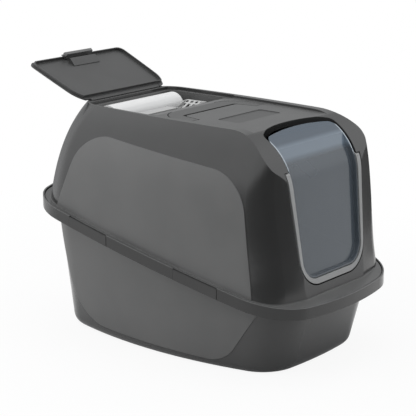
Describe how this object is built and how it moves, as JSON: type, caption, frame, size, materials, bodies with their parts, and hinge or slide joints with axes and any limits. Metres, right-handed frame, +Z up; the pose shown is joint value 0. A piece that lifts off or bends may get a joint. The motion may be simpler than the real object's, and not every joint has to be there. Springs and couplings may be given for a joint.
{
  "type": "covered litter box",
  "caption": "Covered litter box: deep tray, tall hood with a flip-up swing door entrance, lidded roof store for scoop and liners, carry handle and side clips.",
  "frame": {"origin": "on the floor, on the tray's flat underside, below the middle of the rim's length and width", "axes": "+X to the right seen from the entrance, +Y from the entrance to the rear, +Z up"},
  "size_m": [0.456, 0.6929, 0.5485],
  "materials": {
    "shell_plastic": "gloss dark grey",
    "frame_plastic": "gloss mid grey",
    "door_plastic": "tinted blue-grey, slightly see-through",
    "handle_plastic": "satin dark grey",
    "scoop_plastic": "satin light grey",
    "film_roll": "soft white film",
    "carbon_pad": "black felt"
  },
  "bodies": {
    "tray": {"litter_tray": "shell_plastic"},
    "hood": {"hood_shell": "shell_plastic", "storage_tub": "shell_plastic", "filter_holder": "shell_plastic", "carbon_filter": "carbon_pad"},
    "lid": {"storage_lid": "shell_plastic"},
    "latch": {"lid_latch": "handle_plastic"},
    "handle": {"carry_handle": "handle_plastic"},
    "frame": {"entrance_frame": "frame_plastic"},
    "door": {"swing_door": "door_plastic"},
    "clip_left_rear": {"clip_left_rear": "shell_plastic"},
    "clip_left_front": {"clip_left_front": "shell_plastic"},
    "clip_right_rear": {"clip_right_rear": "shell_plastic"},
    "clip_right_front": {"clip_right_front": "shell_plastic"},
    "roll": {"liner_roll": "film_roll"},
    "scoop": {"litter_scoop": "scoop_plastic"}
  },
  "joints": [
    {"name": "hood_lift", "type": "slide", "parent": "tray", "child": "hood", "axis": [0, 0, 1], "range_m": [0, 0.3]},
    {"name": "storage_lid_hinge", "type": "hinge", "parent": "hood", "child": "lid", "pos_m": [0, 0.222, 0.4715], "axis": [-1, 0, 0], "range_deg": [-156.8, 0]},
    {"name": "lid_latch_pivot", "type": "hinge", "parent": "lid", "child": "latch", "pos_m": [0, 0.35546, 0.53834], "axis": [-1, 0, 0], "range_deg": [0, 12], "stiffness_Nm_per_rad": 0.03},
    {"name": "carry_handle_pivot", "type": "hinge", "parent": "hood", "child": "handle", "pos_m": [0, -0.035, 0.45673], "axis": [1, 0, 0], "range_deg": [0, 90]},
    {"name": "entrance_frame_hinge", "type": "hinge", "parent": "hood", "child": "frame", "pos_m": [0, -0.2597, 0.383], "axis": [-1, 0, 0], "range_deg": [0, 90]},
    {"name": "swing_door_hinge", "type": "hinge", "parent": "frame", "child": "door", "pos_m": [0, -0.251, 0.392], "axis": [-1, 0, 0], "range_deg": [-70, 70]},
    {"name": "clip_left_rear_hinge", "type": "hinge", "parent": "tray", "child": "clip_left_rear", "pos_m": [-0.22105, 0.1335, 0.23234], "axis": [-0.0397, -0.9729, -0.2277], "range_deg": [0, 24], "stiffness_Nm_per_rad": 0.05},
    {"name": "clip_left_front_hinge", "type": "hinge", "parent": "tray", "child": "clip_left_front", "pos_m": [-0.21719, -0.127, 0.17138], "axis": [0.0684, -0.9714, -0.2273], "range_deg": [0, 24], "stiffness_Nm_per_rad": 0.05},
    {"name": "clip_right_rear_hinge", "type": "hinge", "parent": "tray", "child": "clip_right_rear", "pos_m": [0.22105, 0.1335, 0.23234], "axis": [-0.0397, 0.9729, 0.2277], "range_deg": [0, 24], "stiffness_Nm_per_rad": 0.05},
    {"name": "clip_right_front_hinge", "type": "hinge", "parent": "tray", "child": "clip_right_front", "pos_m": [0.21719, -0.127, 0.17138], "axis": [0.0684, 0.9714, 0.2273], "range_deg": [0, 24], "stiffness_Nm_per_rad": 0.05},
    {"name": "liner_roll_lift", "type": "slide", "parent": "hood", "child": "roll", "axis": [0, 0, 1], "range_m": [0, 0.1]},
    {"name": "litter_scoop_lift", "type": "slide", "parent": "hood", "child": "scoop", "axis": [0, 0, 1], "range_m": [0, 0.1]}
  ]
}
